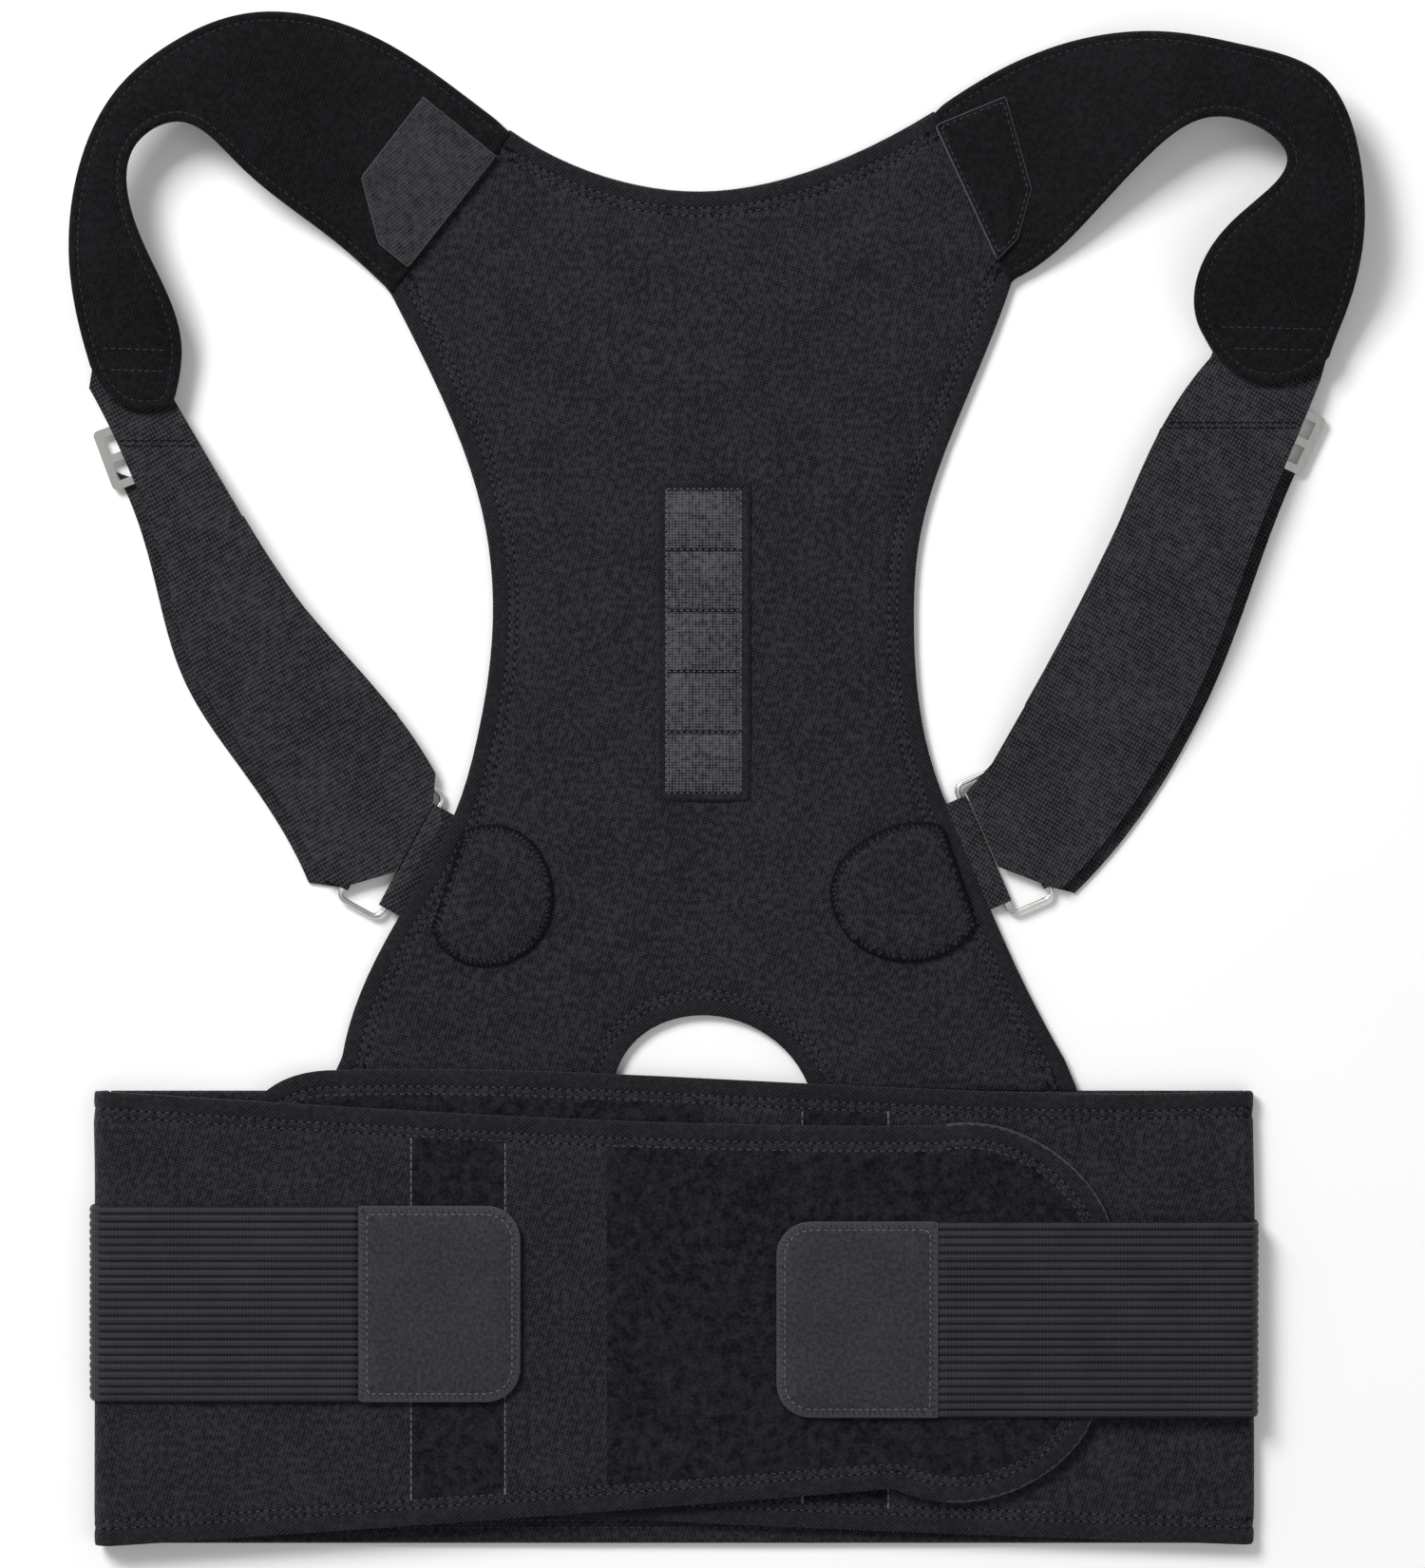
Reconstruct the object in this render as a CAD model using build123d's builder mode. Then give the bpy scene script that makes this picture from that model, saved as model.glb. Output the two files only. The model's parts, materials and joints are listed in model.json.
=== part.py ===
from build123d import *
import math
import os

# Back brace lying flat and closed, seen from the front: a padded back panel with two arm loops
# and a closed lumbar belt. Millimetres. +X to the viewer's right, +Y towards the neck, +Z up.

# Driving dimensions
PANEL_T = 4.0          # neoprene of the back panel and of the belt's back
PAD_T = 5.0            # shoulder pads
BAND_T = 0.6           # edge bands, loop pile and other thin trim
BAND_W = 8.0           # width of an edge band
WING_T = 3.0           # belt wings
GAP = 0.4              # clearance between fabric layers that part
HINGE_GAP = 0.3        # clearance at a crease line
WEB_T = 1.2            # webbing thickness
WEB_Z = 0.3            # height of the lower webbing run
STRAP_WEB_W = 46.0     # strap webbing
TAB_WEB_W = 44.0       # webbing tab that holds the ring
ANCHOR_WEB_W = 40.0    # sewn end of the tab's webbing, under its patch
ANCHOR_WEB_L = 18.0
ANCHOR_IN = 20.0       # middle of the sewn end to the panel's edge
WIRE_R = 1.1           # wire radius of the rings
RING_L = 54.0          # ring, along its long bars
RING_W = 18.0          # ring, between the long bars
RING_CORNER = 3.5
RING_CLEAR = 0.2       # webbing fold to ring wire
FLAP_SHARE = 0.35      # how far past the ring's middle the strap's end covers it
ANCHOR_OUT = 6.0       # ring's inner bar to the panel's edge
TAB_GAP = 1.0          # ring tab to the panel's edge
SLIDER_T = 1.6         # slider plate thickness
SLIDER_W = 24.0        # slider, along the strap
SLIDER_BAR = 3.2       # slider bar width
SLIDER_CORNER = 2.0
PATCH_T = 2.0          # magnet patch and anchor patches
PATCH_W = 36.0         # magnet patch
PATCH_MARGIN = 3.0     # what the magnet patch has beyond its pockets, along its length
PATCH_CORNER = 1.5
MAGNET_R = 7.0
MAGNET_T = 1.2
MAGNET_PITCH = 24.0
MAGNET_COUNT = 5
FIT = 0.1              # play round a piece held in a pocket
STAY_W = 12.0
STAY_T = 1.2
STAY_L = 120.0
BELT_LEFT = -233.0     # crease line of the belt's left side
BELT_RIGHT = 203.0     # crease line of the belt's right side
BELT_TOP = -120.0
BELT_BOTTOM = -294.0
PILE_LOW = 37.0        # loop pile to the lowest end of the wing's lower edge
PILE_HIGH = 27.0       # loop pile to the highest end of the wing's upper edge
WING_HOOK_L = 100.0    # hook patch under the over wing
ELASTIC_W = 75.0
ELASTIC_T = 1.6
TAB_T = 1.4
TAB_R = 13.0           # corner radius of the elastic's end tab
HOOK_T = 0.6
HOOK_MARGIN = 7.0      # tab's edge to its hook patch

# Heights of the belt's layers
UNDER_Z = PANEL_T + BAND_T + GAP
OVER_HOOK_Z = UNDER_Z + WING_T + BAND_T + GAP
OVER_Z = OVER_HOOK_Z + HOOK_T
ELASTIC_Z = OVER_Z + WING_T + BAND_T + GAP
RING_Z = WEB_Z + WEB_T + RING_CLEAR + WIRE_R
WEB_TOP_Z = RING_Z + WIRE_R + RING_CLEAR

os.makedirs("parts", exist_ok=True)


def save(piece, label):
    """Label a finished piece and write it to its own file."""
    piece.part.label = label
    export_step(piece.part, f"parts/{label}.step")


def shifted(points, width):
    """Move a run of points sideways, to the left of its direction of travel."""
    moved = []
    for i, (x, y) in enumerate(points):
        x0, y0 = points[max(i - 1, 0)]
        x1, y1 = points[min(i + 1, len(points) - 1)]
        length = math.hypot(x1 - x0, y1 - y0)
        moved.append((x - width * (y1 - y0) / length, y + width * (x1 - x0) / length))
    return moved


def plate(runs, z, thickness):
    """Flat piece bounded by smooth or straight runs of points, joined end to end."""
    with BuildPart() as piece:
        with BuildSketch(Plane.XY.offset(z)):
            with BuildLine():
                for i, run in enumerate(runs):
                    following = runs[(i + 1) % len(runs)][0]
                    if len(run) > 2:
                        Spline(*run)
                    elif len(run) == 2:
                        Line(*run)
                    if math.dist(run[-1], following) > 0.01:
                        Line(run[-1], following)
            make_face()
        extrude(amount=thickness)
    return piece


def band(points, width, z, thickness, label):
    """Edge band: a strip that follows an edge, on its left-hand side."""
    save(plate([points, shifted(points, width)[::-1]], z, thickness), label)


# Back panel -----------------------------------------------------------------------------------
NECK = [(-80, 250), (-37, 230), (-5, 226), (27, 231), (84, 257)]
LEFT_EDGE = [(-126, 188), (-104, 143), (-90, 102), (-86, 64), (-92, 16), (-99, -9), (-125, -58), (-144, -107)]
RIGHT_EDGE = [(114, 192), (94, 141), (78, 91), (76, 58), (82, 9), (96, -28), (117, -76), (134, -108)]
ARCH = [(-40, BELT_TOP), (-23, -95), (-3, -91), (17, -97), (36, BELT_TOP)]
LEFT_SEAM = [LEFT_EDGE[0], NECK[0]]
RIGHT_SEAM = [NECK[-1], RIGHT_EDGE[0]]
LEFT_FOOT = (-150, BELT_TOP)
RIGHT_FOOT = (139, BELT_TOP)

save(plate([NECK, RIGHT_EDGE, [RIGHT_FOOT, ARCH[-1]], ARCH[::-1], [ARCH[0], LEFT_FOOT], LEFT_EDGE[::-1]],
           0, PANEL_T), "back_panel")
band(NECK[::-1], BAND_W, PANEL_T, BAND_T, "neck_binding")
band(LEFT_EDGE[1:5], BAND_W, PANEL_T, BAND_T, "left_armhole_binding")
band(RIGHT_EDGE[1:5][::-1], BAND_W, PANEL_T, BAND_T, "right_armhole_binding")
ARCH_TOP = [(-34, -107), (-23, -95), (-3, -91), (17, -97), (28, -107)]
band(ARCH_TOP, BAND_W, PANEL_T, BAND_T, "arch_binding")

# Magnet patch, with a pocket under it for each disc magnet
PATCH_L = MAGNET_COUNT * MAGNET_PITCH + PATCH_MARGIN
PATCH_AT = (-5, 53)
MAGNET_SPOTS = [(PATCH_AT[0], PATCH_AT[1] + (i - (MAGNET_COUNT - 1) / 2) * MAGNET_PITCH)
                for i in range(MAGNET_COUNT)]
with BuildPart() as magnet_patch:
    with BuildSketch(Plane.XY.offset(PANEL_T)):
        with Locations(PATCH_AT):
            RectangleRounded(PATCH_W, PATCH_L, PATCH_CORNER)
    extrude(amount=PATCH_T)
    with BuildSketch(Plane.XY.offset(PANEL_T)):
        with Locations(*MAGNET_SPOTS):
            Circle(MAGNET_R + FIT)
    extrude(amount=MAGNET_T + FIT, mode=Mode.SUBTRACT)
save(magnet_patch, "magnet_patch")
with BuildPart() as magnets:
    with BuildSketch(Plane.XY.offset(PANEL_T)):
        with Locations(*MAGNET_SPOTS):
            Circle(MAGNET_R)
    extrude(amount=MAGNET_T)
save(magnets, "magnets")

# Seam strips over the joint of each pad root
save(plate([[(-88, 242), (-122, 199)], [(-128, 204), (-129, 225)], [(-105, 256)]], PAD_T, BAND_T),
     "left_shoulder_patch")
save(plate([[(112, 201), (88, 253)], [(104, 259), (116, 224)], [(115, 207)]], PAD_T, BAND_T),
     "right_shoulder_patch")


# Anchor patches and the webbing that they hold ---------------------------------------------------
def anchor(side, edge_mid, out, patch_points):
    """D-shaped patch with the sewn end of the ring's webbing under it. out points off the panel."""
    web_plane = Plane(origin=(edge_mid[0], edge_mid[1], PANEL_T), x_dir=(out[0], out[1], 0), z_dir=(0, 0, 1))
    with BuildPart() as webbing:
        with BuildSketch(web_plane):
            with Locations((-ANCHOR_IN, 0)):
                Rectangle(ANCHOR_WEB_L, ANCHOR_WEB_W)
        extrude(amount=WEB_T)
    save(webbing, f"{side}_anchor_webbing")
    with BuildPart() as patch:
        add(plate([patch_points], PANEL_T, PATCH_T).part)
        with BuildSketch(web_plane):
            with Locations((-ANCHOR_IN, 0)):
                Rectangle(ANCHOR_WEB_L + 2 * FIT, ANCHOR_WEB_W + 2 * FIT)
        extrude(amount=WEB_T + FIT, mode=Mode.SUBTRACT)
    save(patch, f"{side}_anchor_patch")


# Arm loops ------------------------------------------------------------------------------------------
def hinge_plane(top, low, away):
    """Upright plane through the crease line of an arm loop, facing away from the back panel."""
    along = Vector(top[0] - low[0], top[1] - low[1], 0).normalized()
    normal = Vector(-along.Y, along.X, 0)
    if normal.X * away < 0:
        normal = -normal
    return Plane(origin=(top[0], top[1], 0), x_dir=along, z_dir=normal)


def pad_pieces(side, outline, top, low, away):
    """The sewn root of the pad and the pad that swings, parted along the crease line."""
    crease = hinge_plane(top, low, away)
    whole = plate(outline, 0, PAD_T).part
    with BuildPart() as root:
        add(whole)
        split(bisect_by=crease.offset(-HINGE_GAP), keep=Keep.BOTTOM)
    save(root, f"{side}_shoulder_root")
    with BuildPart() as pad:
        add(whole)
        split(bisect_by=crease.offset(HINGE_GAP), keep=Keep.TOP)
    save(pad, f"{side}_shoulder_pad")


def half_fold(bar_plane, at, length, keep):
    """Half tube of webbing that wraps a ring bar, on the side that keep says."""
    inner = WIRE_R + RING_CLEAR
    outer = inner + WEB_T
    start = bar_plane.from_local_coords((at, -length / 2, RING_Z))
    with BuildPart() as fold:
        with BuildSketch(Plane(origin=start, x_dir=bar_plane.x_dir, z_dir=-bar_plane.y_dir)):
            Circle(outer)
            Circle(inner, mode=Mode.SUBTRACT)
            with Locations((-keep * outer, 0)):
                Rectangle(2 * outer, 2 * outer, mode=Mode.SUBTRACT)
        extrude(amount=-length)
    return fold.part


def ring(side, bar_plane):
    """Rectangular wire ring. Its inner bar runs through the plane's origin, along local y."""
    middle = bar_plane.from_local_coords((RING_W / 2, 0, RING_Z))
    flat = Plane(origin=middle, x_dir=bar_plane.x_dir, z_dir=(0, 0, 1))
    with BuildSketch(flat) as loop:
        RectangleRounded(RING_W, RING_L, RING_CORNER)
    path = loop.sketch.face().outer_wire()
    with BuildPart() as wire:
        with BuildSketch(Plane(origin=path @ 0, z_dir=path % 0)):
            Circle(WIRE_R)
        sweep(path=path)
    save(wire, f"{side}_ring")


def ring_tab(side, bar_plane):
    """Webbing folded round the ring's inner bar, up to the panel's edge."""
    reach = ANCHOR_OUT - TAB_GAP
    with BuildPart() as tab:
        add(half_fold(bar_plane, 0, TAB_WEB_W, 1))
        for z in (WEB_Z, WEB_TOP_Z):
            with BuildSketch(bar_plane.offset(z)):
                with Locations((-reach / 2, 0)):
                    Rectangle(reach, TAB_WEB_W)
            extrude(amount=WEB_T)
    save(tab, f"{side}_ring_tab")


def strap(side, bar_plane, tip, inner_edge, outer_edge, rear_shift):
    """Webbing from the pad's tip to the ring, round its outer bar and back under itself."""
    upper = 1 if bar_plane.y_dir.Y > 0 else -1
    flap_reach = WIRE_R + RING_CLEAR + WEB_T + GAP

    def bar_point(at, s):
        point = bar_plane.from_local_coords((at, s * upper * STRAP_WEB_W / 2, 0))
        return (point.X, point.Y)

    front_end = [bar_point(flap_reach, 1), bar_point(flap_reach, -FLAP_SHARE)]
    rear_end = [bar_point(RING_W, 1), bar_point(RING_W, -1)]
    rear_outer = [(x + rear_shift[0], y + rear_shift[1]) for x, y in outer_edge[1:]]
    under_tip = [(x, y - GAP) for x, y in tip]
    with BuildPart() as webbing:
        add(half_fold(bar_plane, RING_W, STRAP_WEB_W, -1))
        add(plate([under_tip, inner_edge, front_end, rear_end[1:], outer_edge[::-1]], WEB_TOP_Z, WEB_T).part)
        add(plate([inner_edge[1:-1], rear_end, rear_outer[::-1]], WEB_Z, WEB_T).part)
    save(webbing, f"{side}_strap_webbing")


def slider(side, centre, along, width):
    """Tri-glide slider between the two webbing runs, with its middle bar as a separate piece."""
    place = Plane(origin=(centre[0], centre[1], WEB_Z + WEB_T + GAP), x_dir=(-along[1], along[0], 0),
                  z_dir=(0, 0, 1))
    with BuildPart() as frame:
        with BuildSketch(place):
            RectangleRounded(width, SLIDER_W, SLIDER_CORNER)
            Rectangle(width - 2 * SLIDER_BAR, SLIDER_W - 2 * SLIDER_BAR, mode=Mode.SUBTRACT)
        extrude(amount=SLIDER_T)
    save(frame, f"{side}_slider")
    with BuildPart() as bar:
        with BuildSketch(place):
            Rectangle(width - 2 * SLIDER_BAR, SLIDER_BAR)
        extrude(amount=SLIDER_T)
    save(bar, f"{side}_slider_bar")


def unit(vector):
    """The same direction with a length of one."""
    length = math.hypot(*vector)
    return (vector[0] / length, vector[1] / length)


def arm_loop(side, away, pad_outline, patch, edge_mid, out, crease_top, straps, slide):
    """All pieces of one arm loop, and its anchor on the back panel."""
    out = unit(out)
    anchor(side, edge_mid, out, patch)
    bar_at = (edge_mid[0] + ANCHOR_OUT * out[0], edge_mid[1] + ANCHOR_OUT * out[1])
    bar_plane = Plane(origin=(bar_at[0], bar_at[1], 0), x_dir=(out[0], out[1], 0), z_dir=(0, 0, 1))
    pad_pieces(side, pad_outline, crease_top, bar_at, away)
    ring(side, bar_plane)
    ring_tab(side, bar_plane)
    strap(side, bar_plane, pad_outline[2], *straps)
    slider(side, *slide)


arm_loop(
    "left", -1,
    [LEFT_SEAM[::-1],
     [NECK[0], (-108, 271), (-143, 290), (-178, 293), (-206, 282), (-229, 263), (-244, 231), (-247, 195),
      (-240, 158)],
     [(-240, 158), (-225, 147), (-209, 148)],
     [(-209, 148), (-207, 177), (-224, 219), (-222, 242), (-206, 251), (-183, 235), (-146, 206),
      LEFT_EDGE[0]]],
    [(-97, -20), (-71, -24), (-63, -42), (-68, -62), (-86, -72), (-110, -58)],
    (-112, -33), (-0.88, 0.475), (-128, 188),
    ([(-208, 145), (-182, 101), (-166, 76), (-123, 25), (-108, 2)],
     [(-241, 150), (-226, 120), (-213, 85), (-200, 40), (-176, 3), (-152, -38)], (-5, -2)),
    ((-220.5, 127.5), unit((0.35, -0.94)), 33))
arm_loop(
    "right", 1,
    [RIGHT_SEAM[::-1],
     [NECK[-1], (104, 270), (135, 283), (167, 286), (202, 280), (231, 269), (246, 235), (243.5, 186),
      (235, 164)],
     [(235, 164), (209, 157), (191, 165)],
     [(191, 165), (183, 183), (196, 212), (218, 238), (193, 253), (167, 240), (144, 216), RIGHT_EDGE[0]]],
    [(87, -18), (56, -24), (44, -40), (50, -60), (70, -70), (100, -56)],
    (97, -30), (0.916, 0.40), (115, 192),
    ([(190, 162), (171, 135), (149, 86), (119, 29), (106, 6)],
     [(232, 153), (219, 122), (209, 98), (191, 48), (160, -10), (133, -42)], (5, -2)),
    ((209, 137), unit((-0.42, -0.907)), 46))


# Belt: back part and its side folds ------------------------------------------------------------------
def box_piece(x, y, z, label, pocket=None):
    """Flat rectangular piece between pairs of limits, with an optional closed pocket inside."""
    with BuildPart() as piece:
        with Locations(((x[0] + x[1]) / 2, (y[0] + y[1]) / 2, (z[0] + z[1]) / 2)):
            Box(x[1] - x[0], y[1] - y[0], z[1] - z[0])
        for at in pocket or []:
            with Locations(at):
                Box(STAY_W + 2 * FIT, STAY_L + 2 * FIT, STAY_T + 2 * FIT, mode=Mode.SUBTRACT)
    save(piece, label)


def stays(places, label):
    """Flexible stays, one in each closed pocket."""
    with BuildPart() as group:
        with Locations(*places):
            Box(STAY_W, STAY_L, STAY_T)
    save(group, label)


BELT_MIDDLE = (BELT_TOP + BELT_BOTTOM) / 2
BACK_STAYS = [(x, BELT_MIDDLE, PANEL_T / 2) for x in (-75, 45)]
box_piece((BELT_LEFT, BELT_RIGHT), (BELT_BOTTOM, BELT_TOP), (0, PANEL_T), "lumbar_panel", BACK_STAYS)
stays(BACK_STAYS, "back_stays")
with BuildPart() as lumbar_bindings:
    for y in (BELT_TOP - BAND_W / 2, BELT_BOTTOM + BAND_W / 2):
        with Locations(((BELT_LEFT + BELT_RIGHT) / 2, y, PANEL_T + BAND_T / 2)):
            Box(BELT_RIGHT - BELT_LEFT, BAND_W, BAND_T)
save(lumbar_bindings, "lumbar_bindings")


def side_fold(x, direction, wing_top, label):
    """Half tube where the belt turns from its back part into a wing."""
    radius = wing_top / 2
    with BuildPart() as fold:
        with BuildSketch(Plane(origin=(x, BELT_TOP, radius), x_dir=(1, 0, 0), z_dir=(0, 1, 0))):
            Circle(radius)
            Circle(radius - WING_T, mode=Mode.SUBTRACT)
            with Locations((-direction * radius, 0)):
                Rectangle(2 * radius, 2 * radius, mode=Mode.SUBTRACT)
        extrude(amount=BELT_BOTTOM - BELT_TOP)
    save(fold, label)


side_fold(BELT_LEFT, -1, OVER_Z + WING_T, "left_side_fold")
side_fold(BELT_RIGHT, 1, UNDER_Z + WING_T, "right_side_fold")


# Belt: wings ----------------------------------------------------------------------------------------
def wing(name, z, top, tip, bottom, pile_x, channel_x, hook_x, hook_z):
    """One wing: panel with a stay in a closed pocket, edge bands, loop pile, stay channel and hooks."""
    stay_at = ((channel_x[0] + channel_x[1]) / 2, BELT_MIDDLE, z + WING_T / 2)
    with BuildPart() as panel:
        add(plate([top, tip, bottom], z, WING_T).part)
        with Locations(stay_at):
            Box(STAY_W + 2 * FIT, STAY_L + 2 * FIT, STAY_T + 2 * FIT, mode=Mode.SUBTRACT)
    save(panel, name)
    stays([stay_at], f"{name}_stay")
    skin_z = z + WING_T
    sides = 1 if top[-1][0] < top[0][0] else -1
    with BuildPart() as binding:
        for run in (top, tip, bottom):
            add(plate([run, shifted(run, sides * BAND_W)[::-1]], skin_z, BAND_T).part)
    save(binding, f"{name}_binding")
    low = min(bottom[0][1], bottom[-1][1]) + PILE_LOW
    high = max(top[0][1], top[-1][1]) - PILE_HIGH
    box_piece(pile_x, (low, high), (skin_z, skin_z + BAND_T), f"{name}_pile")
    box_piece(channel_x, (low, high), (skin_z, skin_z + BAND_T), f"{name}_channel")
    if hook_x:
        hook_y = (BELT_MIDDLE - WING_HOOK_L / 2, BELT_MIDDLE + WING_HOOK_L / 2)
        box_piece(hook_x, hook_y, (hook_z, hook_z + HOOK_T), f"{name}_hook")


def below_top(*points):
    """Points given by how far they lie below the belt's upper edge."""
    return [(x, BELT_TOP - drop) for x, drop in points]


def above_bottom(*points):
    """Points given by how far they lie above the belt's lower edge."""
    return [(x, BELT_BOTTOM + rise) for x, rise in points]


OVER_X = BELT_LEFT + HINGE_GAP
UNDER_X = BELT_RIGHT - HINGE_GAP
wing("over_wing", OVER_Z,
     below_top((OVER_X, 0), (-123, 7), (-12, 12), (85, 13)),
     below_top((85, 13), (119, 17), (151, 50)) + above_bottom((151, 79), (140, 41), (122, 25), (68, 22)),
     above_bottom((68, 22), (-20, 15), (OVER_X, 0)),
     (-42, 120), (-117, -81), (80, 136), OVER_HOOK_Z)
wing("under_wing", UNDER_Z,
     below_top((UNDER_X, 0), (34, -3), (-81, -8), (-150, -8)),
     below_top((-150, -8), (-178, 5), (-189, 40)) + above_bottom((-189, 59), (-175, 26), (-145, 17)),
     above_bottom((-145, 17), (-20, 9), (94, 4), (UNDER_X, 0)),
     (-165, -5), (33, 66), None, 0)


# Belt: elastic tension straps ------------------------------------------------------------------------
def tension_strap(side, root_x, joint_x, tip_x, middle_y):
    """Ribbed elastic, smooth end tab and the hook patch under the tab."""
    reach = 1 if tip_x > root_x else -1
    half = ELASTIC_W / 2
    limits = sorted((root_x, joint_x - reach * FIT))
    box_piece(limits, (middle_y - half, middle_y + half), (ELASTIC_Z, ELASTIC_Z + ELASTIC_T),
              f"{side}_elastic")
    tab_mid = (joint_x + tip_x) / 2
    with BuildPart() as tab:
        with BuildSketch(Plane.XY.offset(ELASTIC_Z + HOOK_T)):
            with Locations((tab_mid, middle_y)):
                box = Rectangle(abs(tip_x - joint_x), ELASTIC_W)
            corners = box.vertices().group_by(Axis.X)[-1 if reach > 0 else 0]
            fillet(corners, TAB_R)
        extrude(amount=TAB_T)
    save(tab, f"{side}_tab")
    hook_w = abs(tip_x - joint_x) - 2 * HOOK_MARGIN
    with BuildPart() as hook:
        with BuildSketch(Plane.XY.offset(ELASTIC_Z)):
            with Locations((tab_mid, middle_y)):
                RectangleRounded(hook_w, ELASTIC_W - 2 * HOOK_MARGIN, TAB_R - HOOK_MARGIN)
        extrude(amount=HOOK_T)
    save(hook, f"{side}_hook")


tension_strap("left", OVER_X, -137, -75, BELT_MIDDLE + 6)
tension_strap("right", UNDER_X, 85, 23, BELT_MIDDLE)
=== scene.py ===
import json
import math
import bmesh
import bpy
import numpy as np
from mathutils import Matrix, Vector, geometry, kdtree, noise
from mathutils.bvhtree import BVHTree


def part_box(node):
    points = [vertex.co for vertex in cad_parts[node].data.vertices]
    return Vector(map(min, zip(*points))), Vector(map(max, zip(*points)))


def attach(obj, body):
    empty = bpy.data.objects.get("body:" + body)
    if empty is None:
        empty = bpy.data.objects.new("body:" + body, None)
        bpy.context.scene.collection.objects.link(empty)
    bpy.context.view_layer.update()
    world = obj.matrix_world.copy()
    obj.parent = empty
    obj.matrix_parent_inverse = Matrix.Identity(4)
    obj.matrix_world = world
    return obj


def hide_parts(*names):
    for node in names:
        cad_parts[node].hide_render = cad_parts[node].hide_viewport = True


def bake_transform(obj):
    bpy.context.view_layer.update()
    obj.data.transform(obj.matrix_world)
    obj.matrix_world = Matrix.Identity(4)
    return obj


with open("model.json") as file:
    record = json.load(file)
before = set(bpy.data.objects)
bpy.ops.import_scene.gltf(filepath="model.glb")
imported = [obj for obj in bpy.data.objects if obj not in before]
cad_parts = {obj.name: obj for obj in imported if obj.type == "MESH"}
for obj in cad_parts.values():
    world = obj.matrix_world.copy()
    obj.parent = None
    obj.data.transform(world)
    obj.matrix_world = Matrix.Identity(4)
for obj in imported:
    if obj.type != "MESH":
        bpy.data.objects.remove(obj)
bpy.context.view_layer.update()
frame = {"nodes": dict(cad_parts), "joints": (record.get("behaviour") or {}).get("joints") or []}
NODES = frame["nodes"]
MM = 0.001
SAME_PLACE = 0.01 * MM     # points nearer than this are one point
COARSE = 1.0


# Materials ----------------------------------------------------------------------------------------
def material(name, roughness, sheen=0.0, metallic=0.0):
    """New material with its node tree cleared down to a Principled shader and the object's coordinates."""
    mat = bpy.data.materials.new(name)
    mat.use_nodes = True
    nodes = mat.node_tree.nodes
    shader = nodes["Principled BSDF"]
    shader.inputs["Roughness"].default_value = roughness
    shader.inputs["Metallic"].default_value = metallic
    shader.inputs["Sheen Weight"].default_value = sheen
    shader.inputs["Sheen Roughness"].default_value = 0.45
    shader.inputs["Specular IOR Level"].default_value = 0.5 if metallic else 0.12
    place = nodes.new("ShaderNodeTexCoord")
    return mat, nodes, mat.node_tree.links, shader, place.outputs["Object"]


def noise_map(nodes, links, place, scale, detail=3.0, stretch=None):
    """Noise over the object's own coordinates, stretched along an axis if asked."""
    source = place
    if stretch:
        mapping = nodes.new("ShaderNodeMapping")
        mapping.inputs["Scale"].default_value = stretch
        links.new(place, mapping.inputs["Vector"])
        source = mapping.outputs["Vector"]
    tex = nodes.new("ShaderNodeTexNoise")
    tex.inputs["Scale"].default_value = scale
    tex.inputs["Detail"].default_value = detail
    links.new(source, tex.inputs["Vector"])
    return tex.outputs["Fac"]


def wave_map(nodes, links, place, pitch, turn):
    """Straight waves with the given pitch in metres, turned about Z by turn radians."""
    mapping = nodes.new("ShaderNodeMapping")
    mapping.inputs["Rotation"].default_value = (0, 0, turn)
    links.new(place, mapping.inputs["Vector"])
    tex = nodes.new("ShaderNodeTexWave")
    tex.inputs["Scale"].default_value = math.tau / 20 / pitch
    tex.inputs["Distortion"].default_value = 0.6
    tex.inputs["Detail"].default_value = 1.0
    links.new(mapping.outputs["Vector"], tex.inputs["Vector"])
    return tex.outputs["Fac"]


def combine(nodes, links, operation, a, b):
    """Math node on two sources, either of which may be a number."""
    node = nodes.new("ShaderNodeMath")
    node.operation = operation
    for socket, value in zip(node.inputs, (a, b)):
        if isinstance(value, (int, float)):
            socket.default_value = value
        else:
            links.new(value, socket)
    return node.outputs[0]


def tint(nodes, links, shader, fac, dark, light, low=0.3, high=0.7):
    """Colour that varies between two tones."""
    ramp = nodes.new("ShaderNodeValToRGB")
    ramp.color_ramp.elements[0].position = low
    ramp.color_ramp.elements[1].position = high
    ramp.color_ramp.elements[0].color = (*dark, 1)
    ramp.color_ramp.elements[1].color = (*light, 1)
    links.new(fac, ramp.inputs["Fac"])
    links.new(ramp.outputs["Color"], shader.inputs["Base Color"])


def bump(nodes, links, shader, height, depth):
    """Bump of a depth in metres from a height source."""
    node = nodes.new("ShaderNodeBump")
    node.inputs["Distance"].default_value = depth
    links.new(height, node.inputs["Height"])
    links.new(node.outputs["Normal"], shader.inputs["Normal"])


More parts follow.
